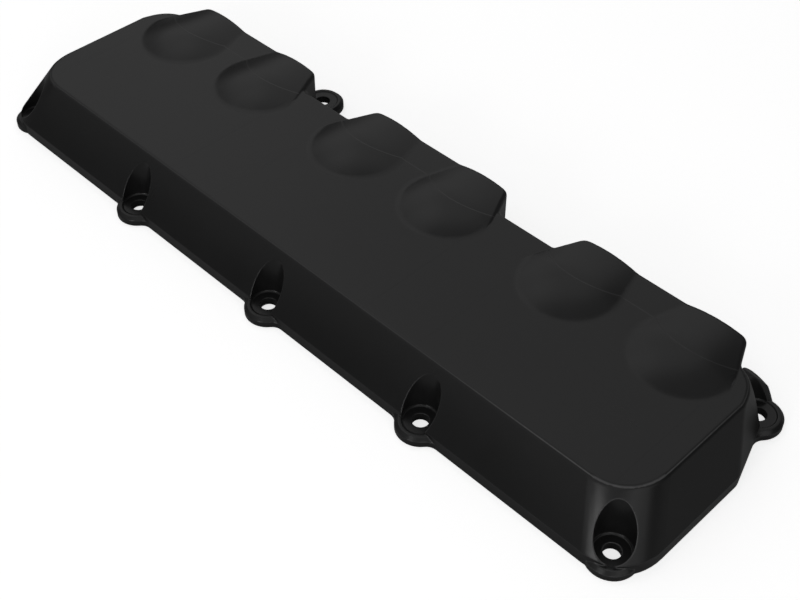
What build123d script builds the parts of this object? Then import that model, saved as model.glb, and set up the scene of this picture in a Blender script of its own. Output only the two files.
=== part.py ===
from build123d import *
from math import atan2, cos, degrees, radians, sin, sqrt
import os

# Main body: a low tray with leaning walls above a short upright band
cover_height = 25.3
band_height = 5.1
base_length = 356.4
base_width = 100.4
end_lean = 10.2
side_lean = 13.0
front_corner = 22.0
back_corner = 15.7
top_edge_round = 2.0

# Flats that trim the two back corners
flat_start = 38.2
flat_slope = 3.0
flat_soft = 6.0

# Bolt grid, ears and the wells sunk into the walls
corner_bolts_in = 12.2
corner_bolts_y = 41.5
front_bolts_y = 46.4
back_bolts_y = 58.0
hole_radius = 3.25
well_radius = 7.0
well_floor = 3.4
floor_round = 0.5
ear_radius = 9.5
ear_height = 3.9
ear_round = 1.4
ear_blend = 5.0
boss_out = 4.2
boss_level = 9.6
boss_facing = 50.0
boss_lean = 43.0
boss_end_drop = 2.1

# Three raised blocks along the back
block_gap = 28.3
block_end_gap = 11.0
block_taper = 0.46
block_back = 0.5
block_inside = 17.0
block_corner = 4.0
block_blend = 2.5

# Two domes on each block
dome_inset = 17.0
dome_gap = 11.8
dome_rise = 3.75
dome_centre = 23.5
dome_tilt = 5.8
dome_blend = 8.0
dome_depth = 6.0

# Hollow underside
wall = 3.0
rail = 5.5

# Sizes that follow from the ones above
half_length = base_length / 2
half_width = base_width / 2
top_half_length = half_length - end_lean
top_half_width = half_width - side_lean
block_end = half_width - block_back
block_start = top_half_width - block_inside
block_half = (top_half_length - block_end_gap - block_gap) / 3
block_pitch = 2 * block_half + block_gap
dome_spacing = 2 * (block_half - dome_inset)
dome_foot = (dome_spacing - dome_gap) / 2
dome_y = half_width - dome_centre
ball = (dome_foot ** 2 + dome_rise ** 2) / (2 * dome_rise)
corner_bolts_x = half_length - corner_bolts_in
bolt_pitch = corner_bolts_x / 2
lean_height = cover_height - band_height
flat_length = sqrt(1 + flat_slope ** 2)
flat_x = flat_slope / flat_length
flat_y = 1 / flat_length
low_reach = flat_x * half_length + flat_y * (half_width - flat_start)
high_reach = flat_x * (top_half_length - back_corner) + flat_y * (top_half_width - back_corner) + back_corner


def leaning_walls(inset, grow):
    # grow moves the foot of every wall out and leaves its top where it was
    out = []
    for side in (-1, 1):
        out.append((Vector(side, 0), half_length, end_lean))
        out.append((Vector(side * flat_x, flat_y), low_reach, low_reach - high_reach))
        out.append((Vector(0, side), half_width, side_lean))
    walls = []
    for outward, reach, lean in out:
        foot = outward * (reach + grow) + Vector(0, 0, band_height)
        facing = (outward * lean_height + Vector(0, 0, lean + grow)).normalized()
        walls.append(Plane(origin=foot - facing * inset, x_dir=outward.cross(Vector(0, 0, 1)), z_dir=facing))
    return walls


def uprights(shape, rise):
    return [e for e in shape.edges() if abs(e.bounding_box().size.Z - rise) < 0.001]


def tray(inset, top, grow=0):
    shell = Pos(0, 0, band_height) * extrude(Rectangle(4 * half_length, 4 * half_width), top - band_height)
    for wall_plane in leaning_walls(inset, grow):
        shell = split(shell, bisect_by=wall_plane, keep=Keep.BOTTOM)
    rise = top - band_height
    posts = sorted(uprights(shell, rise), key=lambda e: e.center().Y)
    shell = fillet(posts[:2], front_corner - inset)
    posts = [e for e in uprights(shell, rise) if e.center().Y > 0]
    posts = sorted(posts, key=lambda e: e.center().Y)
    shell = fillet(posts[:2], flat_soft - inset)
    posts = sorted(uprights(shell, rise), key=lambda e: e.center().Y)
    return fillet(posts[-2:], back_corner - inset)


def footprint(shell):
    return Pos(0, 0, -band_height) * shell.faces().sort_by(Axis.Z)[0]


def block_plan(centre, inset, start):
    reach = block_half + block_taper * (top_half_width - start) - inset
    narrow = block_half - block_taper * (block_end - top_half_width) - inset
    end = block_end - inset
    left = [(centre - reach, start), (centre - narrow, end)]
    right = [(centre + narrow, end), (centre + reach, start)]
    sheet = make_face(Polyline(*left, *right, close=True))
    return fillet([v for v in sheet.vertices() if v.Y > end - 0.001], max(block_corner - inset, 1.0))


def on_block_edge(edge):
    start = edge @ 0
    end = edge @ 1
    if min(start.Z, end.Z) < cover_height - 0.01 or max(start.Y, end.Y) < 1:
        return False
    if abs(start.Z - end.Z) > 1:
        return False
    if abs((edge @ 0.5).Y - block_end) < 0.01:
        return True
    edge_x = block_half + block_taper * (top_half_width - start.Y)
    return abs(abs(start.X) - edge_x) < 1.2 and (abs(start.Z - end.Z) < 0.8 or start.Y > top_half_width)


def dome_section(radius, rise, blend):
    low = rise - radius
    foot = sqrt((radius + blend) ** 2 - (blend - low) ** 2)
    touch_x = foot * radius / (radius + blend)
    touch_z = low + (blend - low) * radius / (radius + blend)
    turn = degrees(atan2(touch_z - blend, touch_x - foot))
    if turn > 0:
        turn = turn - 360
    middle = radians((turn - 90) / 2)
    return foot, touch_x, touch_z, foot + blend * cos(middle), blend + blend * sin(middle)


def crest(radius, y):
    lean = radians(dome_tilt)
    away = y - dome_y
    drop = sqrt(radius ** 2 - away ** 2)
    if away * cos(lean) <= drop * sin(lean):
        return dome_rise - radius + drop
    return dome_rise - radius + (radius - away * sin(lean)) / cos(lean)


def dome_slice(radius, y, level):
    rise = crest(radius, y)
    foot, tx, tz, mx, mz = dome_section(radius, rise, dome_blend)
    bottom = level - dome_depth
    return Face(Wire([
        Line((-foot, y, bottom), (foot, y, bottom)),
        Line((foot, y, bottom), (foot, y, level)),
        ThreePointArc((foot, y, level), (mx, y, level + mz), (tx, y, level + tz)),
        ThreePointArc((tx, y, level + tz), (0, y, level + rise), (-tx, y, level + tz)),
        ThreePointArc((-tx, y, level + tz), (-mx, y, level + mz), (-foot, y, level)),
        Line((-foot, y, level), (-foot, y, bottom)),
    ]))


def dome(radius, level):
    foot, tx, tz, mx, mz = dome_section(radius, dome_rise, dome_blend)
    bottom = level - dome_depth
    low = dome_rise - radius
    skirt = Face(Wire([
        Line((tx, dome_y, bottom), (foot, dome_y, bottom)),
        Line((foot, dome_y, bottom), (foot, dome_y, level)),
        ThreePointArc((foot, dome_y, level), (mx, dome_y, level + mz), (tx, dome_y, level + tz)),
        Line((tx, dome_y, level + tz), (tx, dome_y, bottom)),
    ]))
    ring = revolve(skirt, Axis((0, dome_y, 0), (0, 0, 1)), revolution_arc=-180)
    core = Pos(0, dome_y, bottom) * extrude(Circle(tx), dome_depth + 2 * dome_rise)
    cap = core & Pos(0, dome_y, level + low) * Rot(0, 90, 0) * Sphere(radius)
    cap = split(cap, bisect_by=Plane(origin=(0, dome_y, 0), z_dir=(0, 1, 0)), keep=Keep.BOTTOM)
    ball_end = ring + cap
    run = block_end + 4 - dome_y
    barrel = loft([dome_slice(radius, dome_y + run * part, level) for part in (0, 0.12, 0.25, 0.6, 1)])
    return ball_end + barrel


# Places of the ten bolts
corner_spots = [(sx * corner_bolts_x, sy * corner_bolts_y) for sx in (-1, 1) for sy in (-1, 1)]
front_spots = [(step * bolt_pitch, -front_bolts_y) for step in (-1, 0, 1)]
back_spots = [(step * bolt_pitch, back_bolts_y) for step in (-1, 0, 1)]
spots = corner_spots + front_spots + back_spots
block_centres = [-block_pitch, 0, block_pitch]

# Tray: leaning walls, rounded corners, and the upright band below them
shell = tray(0, cover_height)
base = footprint(shell)
body = shell + extrude(base, band_height, dir=(0, 0, 1))
print("tray", body.is_valid, len(body.faces()))

# Blocks join the tray, with soft inner corners and one rounded top edge all round
for centre in block_centres:
    body = body + extrude(block_plan(centre, 0, block_start), cover_height)
valleys = [
    e for e in body.edges()
    if e.center().Y > top_half_width and band_height < e.center().Z < cover_height - 1
    and e.bounding_box().size.Z > 0.6 * lean_height and e.bounding_box().size.Y > 3
]
body = fillet(valleys, block_blend)
rim = [e for e in body.edges() if abs(e.center().Z - cover_height) < 0.001]
body = fillet(rim, top_edge_round)
print("blocks", body.is_valid, len(body.faces()))

# Domed blocks: two domes with soft feet, and a rounded edge that follows them
column = extrude(block_plan(0, 0, 0), cover_height + 2 * dome_rise)
domed = extrude(block_plan(0, 0, 0), cover_height)
for side in (-1, 1):
    domed = domed + ((Pos(side * dome_spacing / 2, 0, 0) * dome(ball, cover_height)) & column)
domed = fillet([e for e in domed.edges() if on_block_edge(e)], top_edge_round)
reach = dome_spacing / 2 + dome_foot + 3
domed = domed & Pos(0, 0, cover_height) * Box(2 * reach, 2 * base_width, 4 * cover_height)
print("domed block", domed.is_valid, len(domed.faces()))
for centre in block_centres:
    body = body + Pos(centre, 0, 0) * domed
print("domes", body.is_valid, len(body.faces()), len(body.solids()))

# Ears: flat lobes that flow into the band, with a rounded upper edge
slab = extrude(base, ear_height, dir=(0, 0, 1))
for x, y in spots:
    slab = slab + Pos(x, y) * extrude(Circle(ear_radius), ear_height)
for x, y in back_spots:
    neck = y - block_end + 1
    slab = slab + Pos(x, y - neck / 2) * extrude(Rectangle(2 * ear_radius, neck), ear_height)
roots = []
for e in slab.edges().filter_by(Axis.Z):
    for x, y in spots:
        near_lobe = abs(sqrt((e.center().X - x) ** 2 + (e.center().Y - y) ** 2) - ear_radius) < 0.01
        near_neck = abs(abs(e.center().X - x) - ear_radius) < 0.01 and y > half_width > e.center().Y - 0.1 > 0
        if (near_lobe and e.center().Y < back_bolts_y - 0.1) or near_neck:
            roots.append(e)
slab = fillet(roots, ear_blend)
print("lobes", slab.is_valid, len(slab.faces()))
slab = chamfer([e for e in slab.edges() if e.center().Z > ear_height - 0.001], ear_round)
print("ears", slab.is_valid, len(slab.faces()))
body = body + slab
print("with ears", body.is_valid, len(body.faces()), len(body.solids()))

# Fuller bosses behind the back corner wells: a column with one face sloping out and one dropping to the end
boss = extrude(Circle(ear_radius), cover_height - top_edge_round)
turn = radians(boss_facing)
lean = radians(boss_lean)
outward = Vector(cos(turn), sin(turn), 0)
facing = outward * cos(lean) + Vector(0, 0, sin(lean))
slope = Plane(origin=outward * boss_out + Vector(0, 0, boss_level), z_dir=facing)
boss = split(boss, bisect_by=slope, keep=Keep.BOTTOM)
drop = Plane(origin=(0, 0, ear_height - ear_round), z_dir=Vector(boss_end_drop, 0, 1).normalized())
boss = split(boss, bisect_by=drop, keep=Keep.BOTTOM)
body = body + Pos(corner_bolts_x, corner_bolts_y, 0) * boss
body = body + Pos(-corner_bolts_x, corner_bolts_y, 0) * mirror(boss, about=Plane.YZ)
print("bosses", body.is_valid, len(body.faces()), len(body.solids()))

# Wells for the bolt heads and the holes through the ears
well = Pos(0, 0, well_floor) * extrude(Circle(well_radius), 2 * cover_height)
well = chamfer(well.edges().sort_by(Axis.Z)[0], floor_round)
for x, y in spots:
    body = body - Pos(x, y, 0) * well
    body = body - Pos(x, y, -1) * extrude(Circle(hole_radius), 2 * ear_height)
print("wells", body.is_valid, len(body.faces()), len(body.solids()))

# Hollow underside: same form one wall inside, a flat rail round it, solid columns at the bolts
inner = tray(wall, cover_height - wall)
below = extrude(footprint(inner), band_height + 1, dir=(0, 0, 1))
opening = extrude(footprint(tray(0, cover_height, -rail)), cover_height, dir=(0, 0, 1))
cavity = (inner + below + Pos(0, 0, -1) * below) & Pos(0, 0, -1) * opening
for centre in block_centres:
    cavity = cavity + extrude(block_plan(centre, rail, block_start), cover_height - wall)
for x, y in corner_spots + front_spots:
    cavity = cavity - Pos(x, y, -1) * extrude(Circle(ear_radius), 2 * cover_height)
print("cavity", cavity.is_valid, len(cavity.faces()), len(cavity.solids()))
body = body - cavity
print("whole", body.is_valid, len(body.faces()), len(body.solids()), body.volume)

os.makedirs("parts", exist_ok=True)
export_step(body, "parts/valve_cover.step")
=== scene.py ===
import bpy
import math
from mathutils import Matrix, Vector

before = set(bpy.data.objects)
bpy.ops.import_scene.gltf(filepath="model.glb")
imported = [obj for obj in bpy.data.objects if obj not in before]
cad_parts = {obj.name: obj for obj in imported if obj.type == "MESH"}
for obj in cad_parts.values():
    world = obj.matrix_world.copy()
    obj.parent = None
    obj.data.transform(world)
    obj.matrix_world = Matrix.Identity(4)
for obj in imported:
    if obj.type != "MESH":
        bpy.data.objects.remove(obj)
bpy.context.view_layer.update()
print("frame loaded")

cover = bpy.data.objects["valve_cover"]


def nodeAt(tree, kind, **values):
    # one node; each value sets the node's own property of that name, or else its input
    node = tree.nodes.new(kind)
    for name, value in values.items():
        if hasattr(node, name):
            setattr(node, name, value)
        else:
            node.inputs[name].default_value = value
    return node


def mathAt(tree, operation, first, second=None, third=None):
    # one math node; each value is a number or a socket
    node = tree.nodes.new("ShaderNodeMath")
    node.operation = operation
    for slot, value in zip(node.inputs, (first, second, third)):
        if isinstance(value, (int, float)):
            slot.default_value = value
        elif value is not None:
            tree.links.new(value, slot)
    return node.outputs[0]


def rangeAt(tree, source, start, end, low=0.0, high=1.0, blend="LINEAR"):
    # as the source goes from start to end, the result goes from low to high and no further
    node = nodeAt(tree, "ShaderNodeMapRange", interpolation_type=blend)
    for name, value in (("From Min", start), ("From Max", end), ("To Min", low), ("To Max", high)):
        node.inputs[name].default_value = value
    tree.links.new(source, node.inputs["Value"])
    return node.outputs["Result"]


def squareAt(tree, value):
    return mathAt(tree, "POWER", mathAt(tree, "ABSOLUTE", value), 2.0)


def emptyTree(owner):
    owner.use_nodes = True
    owner.node_tree.nodes.clear()
    return owner.node_tree


def seenOrFelt(tree, seen, felt, surface):
    # the camera's own rays meet the seen look, and all other light meets the felt one
    ray = tree.nodes.new("ShaderNodeLightPath")
    pick = tree.nodes.new("ShaderNodeMixShader")
    tree.links.new(ray.outputs["Is Camera Ray"], pick.inputs[0])
    tree.links.new(felt.outputs[0], pick.inputs[1])
    tree.links.new(seen.outputs[0], pick.inputs[2])
    tree.links.new(pick.outputs[0], surface)


# Satin black coating on a casting: soft mottling, fine grain, and a paler tone for its edges, rim and step
# line, partly wear and partly painted highlight
coat = {
    "deep": (0.0140, 0.0140, 0.0142, 1),
    "pale": (0.0190, 0.0190, 0.0192, 1),
    "wornAndHighlight": (0.160, 0.160, 0.161, 1),
    "roughLow": 0.25,
    "roughHigh": 0.33,
    "mottle": {"Scale": 38.0, "Detail": 5.0, "Roughness": 0.6},
    "speck": {"Scale": 560.0, "Detail": 3.0, "Roughness": 0.5},
    "grain": {"Scale": 1500.0, "Detail": 2.0, "Roughness": 0.5},
    "grainStrength": 0.06,
    "grainDepth": 0.00012,
}

material = bpy.data.materials.new("coverCoating")
coatTree = emptyTree(material)
coatOut = coatTree.nodes.new("ShaderNodeOutputMaterial")
shader = coatTree.nodes.new("ShaderNodeBsdfPrincipled")
coatTree.links.new(shader.outputs[0], coatOut.inputs["Surface"])
place = coatTree.nodes.new("ShaderNodeTexCoord")
mottle = nodeAt(coatTree, "ShaderNodeTexNoise", **coat["mottle"])
grain = nodeAt(coatTree, "ShaderNodeTexNoise", **coat["grain"])
speck = nodeAt(coatTree, "ShaderNodeTexNoise", **coat["speck"])
for texture in (mottle, grain, speck):
    coatTree.links.new(place.outputs["Object"], texture.inputs["Vector"])
tone = nodeAt(coatTree, "ShaderNodeMix", data_type="RGBA")
tone.inputs["A"].default_value = coat["deep"]
tone.inputs["B"].default_value = coat["pale"]
coatTree.links.new(mottle.outputs["Fac"], tone.inputs["Factor"])
rough = rangeAt(coatTree, mottle.outputs["Fac"], 0.0, 1.0, coat["roughLow"], coat["roughHigh"])
coatTree.links.new(rough, shader.inputs["Roughness"])

split = coatTree.nodes.new("ShaderNodeSeparateXYZ")
coatTree.links.new(place.outputs["Object"], split.inputs[0])
geometry = coatTree.nodes.new("ShaderNodeNewGeometry")
facing = coatTree.nodes.new("ShaderNodeSeparateXYZ")
coatTree.links.new(geometry.outputs["Normal"], facing.inputs[0])

# Fine step where each block's own top meets the main top, bowed forward over each dome; its pale line is a
# painted highlight
step = {
    "block": 0.1141,  # from one block's centre to the next
    "half": 0.0436,  # half the length of a block
    "level": 0.0250,  # the step lies above this height
    "dome": 0.0259,  # from a block's centre to its dome's
    "centre": 0.052,  # where the bow has its centre, towards the back
    "radius": 0.025,
    "flat": 0.0345,  # where the straight parts lie, towards the back
    "wide": 0.0005,
    "high": 0.00008,
    "pale": 0.15,
}

alongBlock = mathAt(coatTree, "PINGPONG", split.outputs["X"], step["block"] / 2)
fromDome = mathAt(coatTree, "SUBTRACT", alongBlock, step["dome"])
fromCentre = mathAt(coatTree, "SUBTRACT", split.outputs["Y"], step["centre"])
squares = mathAt(coatTree, "ADD", squareAt(coatTree, fromDome), squareAt(coatTree, fromCentre))
arcGap = mathAt(coatTree, "SUBTRACT", mathAt(coatTree, "SQRT", squares), step["radius"])
flatGap = mathAt(coatTree, "SUBTRACT", step["flat"], split.outputs["Y"])
gap = mathAt(coatTree, "MINIMUM", arcGap, flatGap)  # how far a place is from the step's line
onBlock = mathAt(coatTree, "LESS_THAN", alongBlock, step["half"])
onTop = mathAt(coatTree, "GREATER_THAN", split.outputs["Z"], step["level"])
here = mathAt(coatTree, "MULTIPLY", onBlock, onTop)
# a pale line painted along the step: painted highlight
fromLine = mathAt(coatTree, "ABSOLUTE", gap)
paleLine = rangeAt(coatTree, fromLine, step["wide"], 0.0, high=step["pale"])
paintedStepHighlight = mathAt(coatTree, "MULTIPLY", paleLine, here)

# Edges are paler where the softened normal turns away from the true one: partly wear, partly a painted
# highlight, strongest at the near corner
edges = {
    "soft": 0.0007,
    "samples": 8,
    "least": 0.995,  # normals this much alike: no paling
    "most": 0.90,  # normals this much alike: full paling
    "share": 0.85,
    "patchGain": 0.6,
    "patchLow": 0.5,
}

soften = nodeAt(coatTree, "ShaderNodeBevel", samples=edges["samples"], Radius=edges["soft"])
turned = nodeAt(coatTree, "ShaderNodeVectorMath", operation="DOT_PRODUCT")
coatTree.links.new(soften.outputs["Normal"], turned.inputs[0])
coatTree.links.new(geometry.outputs["Normal"], turned.inputs[1])
ridge = rangeAt(coatTree, turned.outputs["Value"], edges["least"], edges["most"])
edgeWearAndHighlight = mathAt(coatTree, "MULTIPLY", ridge, edges["share"])

# The rim of the main top is paler too: a painted highlight along it, where light catches the rim.
# Rim and edges are palest at the near corner, a painted highlight there, and hold only the least share of
# it elsewhere.
rim = {
    "low": 0.0235,
    "high": 0.0255,
    "lean": 0.90,
    "spread": 0.08,
    "from": 0.10,
    "to": 0.20,
    "least": 0.22,
}

offLean = mathAt(coatTree, "ABSOLUTE", mathAt(coatTree, "SUBTRACT", facing.outputs["Z"], rim["lean"]))
tilted = rangeAt(coatTree, offLean, rim["spread"], 0.0, blend="SMOOTHSTEP")
aboveRim = mathAt(coatTree, "GREATER_THAN", split.outputs["Z"], rim["low"])
belowRim = mathAt(coatTree, "LESS_THAN", split.outputs["Z"], rim["high"])
atRim = mathAt(coatTree, "MULTIPLY", aboveRim, belowRim)
paintedRimHighlight = mathAt(coatTree, "MULTIPLY", tilted, atRim)
# paling grows towards the near corner: painted highlight
towardsNear = mathAt(coatTree, "SUBTRACT", split.outputs["X"], split.outputs["Y"])
nearCorner = rangeAt(coatTree, towardsNear, rim["from"], rim["to"], rim["least"], blend="SMOOTHSTEP")
cornerWearAndHighlight = mathAt(coatTree, "MULTIPLY", mathAt(coatTree, "MAXIMUM", edgeWearAndHighlight, paintedRimHighlight), nearCorner)

# edge wear together with the painted highlights on rim, edges and step
wearAndHighlight = mathAt(coatTree, "MAXIMUM", cornerWearAndHighlight, paintedStepHighlight)
patches = mathAt(coatTree, "MULTIPLY_ADD", speck.outputs["Fac"], edges["patchGain"], edges["patchLow"])
patchy = mathAt(coatTree, "MULTIPLY", wearAndHighlight, patches)
wearAndHighlightTone = nodeAt(coatTree, "ShaderNodeMix", data_type="RGBA")
wearAndHighlightTone.inputs["B"].default_value = coat["wornAndHighlight"]
coatTree.links.new(patchy, wearAndHighlightTone.inputs["Factor"])
coatTree.links.new(tone.outputs["Result"], wearAndHighlightTone.inputs["A"])
coatTree.links.new(wearAndHighlightTone.outputs["Result"], shader.inputs["Base Color"])

# Height of the fine step
rise = rangeAt(coatTree, gap, -step["wide"] / 2, step["wide"] / 2, blend="SMOOTHSTEP")
ledgeHeight = mathAt(coatTree, "MULTIPLY", rise, here)
ledge = nodeAt(coatTree, "ShaderNodeBump", Strength=1.0, Distance=step["high"])
coatTree.links.new(ledgeHeight, ledge.inputs["Height"])
coatTree.links.new(soften.outputs["Normal"], ledge.inputs["Normal"])

# Shading alone turns the long front wall upwards towards its upper edge, where the photo is lighter
belly = {"low": 0.004, "top": 0.0246, "deep": 0.0019, "side": -0.3, "front": -0.9}

upWall = rangeAt(coatTree, split.outputs["Z"], belly["low"], belly["top"])
toFront = rangeAt(coatTree, facing.outputs["Y"], belly["side"], belly["front"])
curve = mathAt(coatTree, "MULTIPLY", mathAt(coatTree, "POWER", upWall, 2.0), toFront)
bellyBump = nodeAt(coatTree, "ShaderNodeBump", Strength=1.0, Distance=belly["deep"], invert=True)
coatTree.links.new(curve, bellyBump.inputs["Height"])
coatTree.links.new(ledge.outputs["Normal"], bellyBump.inputs["Normal"])
grainBump = nodeAt(coatTree, "ShaderNodeBump", Strength=coat["grainStrength"], Distance=coat["grainDepth"])
coatTree.links.new(grain.outputs["Fac"], grainBump.inputs["Height"])
coatTree.links.new(bellyBump.outputs["Normal"], grainBump.inputs["Normal"])
coatTree.links.new(grainBump.outputs["Normal"], shader.inputs["Normal"])
for slot in cover.material_slots:
    slot.material = material
print("coating done")

# White floor: the camera sees it near white with the cover's shadow, the cover feels a darker one
floorLook = {
    "size": 8.0,
    "below": 0.0002,
    "seen": 0.9,
    "felt": 0.5,
    "glow": 0.72,
    "farGlow": 1.0,
    "near": 0.35,
    "far": 1.2,
}

bpy.ops.object.select_all(action="DESELECT")
bpy.ops.mesh.primitive_plane_add(size=floorLook["size"], location=(0, 0, -floorLook["below"]))
floor = bpy.context.object
floor.name = "studioFloor"
paper = bpy.data.materials.new("studioPaper")
paperTree = emptyTree(paper)
paperOut = paperTree.nodes.new("ShaderNodeOutputMaterial")
feltPaper = nodeAt(paperTree, "ShaderNodeBsdfDiffuse", Color=(floorLook["felt"],) * 3 + (1,))
seenPaper = nodeAt(paperTree, "ShaderNodeBsdfDiffuse", Color=(floorLook["seen"],) * 3 + (1,))
glow = nodeAt(paperTree, "ShaderNodeEmission", Color=(1, 1, 1, 1))
# the paper's glow grows away from the cover, so that it has no end to be seen
paperPlace = paperTree.nodes.new("ShaderNodeTexCoord")
reach = nodeAt(paperTree, "ShaderNodeVectorMath", operation="LENGTH")
paperTree.links.new(paperPlace.outputs["Object"], reach.inputs[0])
fade = rangeAt(
    paperTree, reach.outputs["Value"], floorLook["near"], floorLook["far"],
    floorLook["glow"], floorLook["farGlow"], blend="SMOOTHSTEP",
)
paperTree.links.new(fade, glow.inputs["Strength"])
glowingPaper = paperTree.nodes.new("ShaderNodeAddShader")
paperTree.links.new(seenPaper.outputs[0], glowingPaper.inputs[0])
paperTree.links.new(glow.outputs[0], glowingPaper.inputs[1])
seenOrFelt(paperTree, glowingPaper, feltPaper, paperOut.inputs["Surface"])
floor.data.materials.append(paper)
print("floor done")

# World: white to the camera, dim to the cover
skyLook = {"dim": 0.044, "white": 1.0}

world = bpy.data.worlds.new("studioWorld")
bpy.context.scene.world = world
skyTree = emptyTree(world)
skyOut = skyTree.nodes.new("ShaderNodeOutputWorld")
dim = nodeAt(skyTree, "ShaderNodeBackground", Color=(1, 1, 1, 1), Strength=skyLook["dim"])
white = nodeAt(skyTree, "ShaderNodeBackground", Color=(1, 1, 1, 1), Strength=skyLook["white"])
seenOrFelt(skyTree, white, dim, skyOut.inputs["Surface"])
print("world done")

# Soft round lamps all about the cover, all at one distance from its middle.
# turn goes round from the right end, lift goes up from the floor; sizes in metres, power in watts
lampDistance = 1.6
lamps = [
    {"name": "above", "turn": 0, "lift": 88, "size": 3.0, "power": 3.3},
    {"name": "near", "turn": 315, "lift": 42, "size": 1.8, "power": 1.4},
    {"name": "farLeft", "turn": 133, "lift": 44, "size": 1.8, "power": 2.1},
    {"name": "left", "turn": 180, "lift": 42, "size": 1.8, "power": 1.25},
    {"name": "frontLeft", "turn": 225, "lift": 42, "size": 1.8, "power": 1.3},
    {"name": "front", "turn": 266, "lift": 42, "size": 1.8, "power": 0.45},
    {"name": "back", "turn": 90, "lift": 22, "size": 1.3, "power": 0.25},
    {"name": "farLow", "turn": 125, "lift": 24, "size": 1.3, "power": 0.35},
    {"name": "nearLow", "turn": 320, "lift": 14, "size": 0.6, "power": 1.2},
    {"name": "cornerLow", "turn": 279, "lift": 21, "size": 0.5, "power": 2.3},
    {"name": "rightLow", "turn": 350, "lift": 24, "size": 1.0, "power": 1.3},
]
for lamp in lamps:
    turn = math.radians(lamp["turn"])
    lift = math.radians(lamp["lift"])
    away = Vector((math.cos(turn) * math.cos(lift), math.sin(turn) * math.cos(lift), math.sin(lift)))
    spot = away * lampDistance
    bpy.ops.object.select_all(action="DESELECT")
    bpy.ops.object.light_add(type="AREA", location=spot)
    light = bpy.context.object
    light.name = lamp["name"] + "Light"
    light.data.shape = "DISK"
    light.data.size = lamp["size"]
    light.data.energy = lamp["power"]
    light.rotation_euler = (-spot).to_track_quat("-Z", "Y").to_euler()
print("lights done")

# Camera, fitted to the outline and the bolt holes of the photo
eye = {
    "place": (0.2926, -0.2647, 0.3630),
    "tilt": 45.31,
    "turn": 45.22,
    "lens": 59.09,
    "sensor": 36,
    "nearest": 0.01,
}

eyeTurn = (math.radians(eye["tilt"]), 0, math.radians(eye["turn"]))
bpy.ops.object.select_all(action="DESELECT")
bpy.ops.object.camera_add(location=eye["place"], rotation=eyeTurn)
camera = bpy.context.object
camera.name = "photoCamera"
camera.data.lens = eye["lens"]
camera.data.sensor_width = eye["sensor"]
camera.data.clip_start = eye["nearest"]
bpy.context.scene.camera = camera
bpy.context.scene.view_settings.view_transform = "Standard"
print("camera done")
